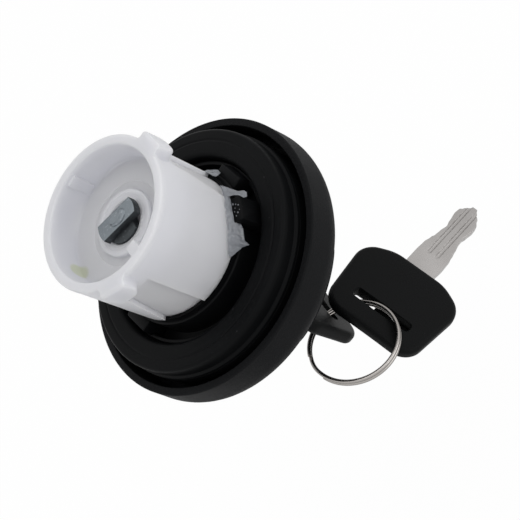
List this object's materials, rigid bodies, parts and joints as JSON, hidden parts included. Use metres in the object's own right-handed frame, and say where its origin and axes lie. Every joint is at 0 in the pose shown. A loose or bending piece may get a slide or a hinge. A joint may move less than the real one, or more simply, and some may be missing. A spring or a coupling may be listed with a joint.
{
  "type": "fuel filler cap",
  "caption": "Round locking fuel filler cap with a grip bar, sealing gasket, white bayonet sleeve, a key in its lock and a spare key on a split ring.",
  "frame": {"origin": "on the cap's axis, in the plane of the gasket face that seals on the filler neck", "axes": "+Z along the axis into the neck, X and Y square to it; the grip bar runs along the direction 95 degrees from +X"},
  "size_m": [0.0856, 0.08, 0.1289],
  "materials": {
    "cover_black": "fine grained black moulding",
    "hub_black": "smooth black moulding",
    "gasket_rubber": "smooth black rubber",
    "bezel_black": "satin black",
    "zinc_cast": "bare die-cast zinc",
    "spring_steel": "plain spring steel",
    "brass_wafer": "plain brass",
    "sleeve_white": "natural white acetal, satin",
    "key_black": "satin black moulding",
    "key_steel": "milled plated steel",
    "ring_steel": "polished steel wire"
  },
  "bodies": {
    "sleeve": {"sleeve": "sleeve_white"},
    "cover": {"grip_cover": "cover_black", "hub_body": "hub_black", "seal_gasket": "gasket_rubber", "lock_bezel": "bezel_black", "lock_housing": "zinc_cast", "housing_clip": "spring_steel", "housing_o_ring": "gasket_rubber", "thrust_washer": "hub_black", "spring_retainer": "hub_black"},
    "valve": {"valve_seal": "gasket_rubber", "valve_plate": "hub_black", "valve_spring": "spring_steel"},
    "plug": {"lock_plug": "zinc_cast", "lock_wafers": "brass_wafer", "plug_shaft": "zinc_cast", "plug_clip": "spring_steel", "tail_bar": "zinc_cast"},
    "key": {"key_head": "key_black", "key_blade": "key_steel"},
    "ring": {"split_ring": "ring_steel"},
    "spare_key": {"spare_key_head": "key_black", "spare_key_blade": "key_steel"}
  },
  "joints": [
    {"name": "cover_turn", "type": "hinge", "parent": "sleeve", "child": "cover", "pos_m": [0, 0, 0], "axis": [0, 0, 1], "continuous": true},
    {"name": "valve_lift", "type": "slide", "parent": "cover", "child": "valve", "axis": [0, 0, 1], "range_m": [0, 0.0012], "stiffness_N_per_m": 400, "springref_m": -0.002, "deforming": ["valve_spring"]},
    {"name": "plug_turn", "type": "hinge", "parent": "cover", "child": "plug", "pos_m": [0, 0, 0], "axis": [0, 0, 1], "range_deg": [0, 90]},
    {"name": "key_slide", "type": "slide", "parent": "plug", "child": "key", "axis": [0, 0, -1], "range_m": [0, 0.034]},
    {"name": "ring_swing", "type": "hinge", "parent": "key", "child": "ring", "pos_m": [-0.00257, -0.00623, -0.05588], "axis": [-0.8977, 0.1739, 0.4049], "range_deg": [-12, 20]},
    {"name": "spare_key_slide", "type": "hinge", "parent": "ring", "child": "spare_key", "pos_m": [-0.00573, -0.01917, -0.05733], "axis": [0.372, -0.193, 0.908], "range_deg": [-35, 3]}
  ]
}
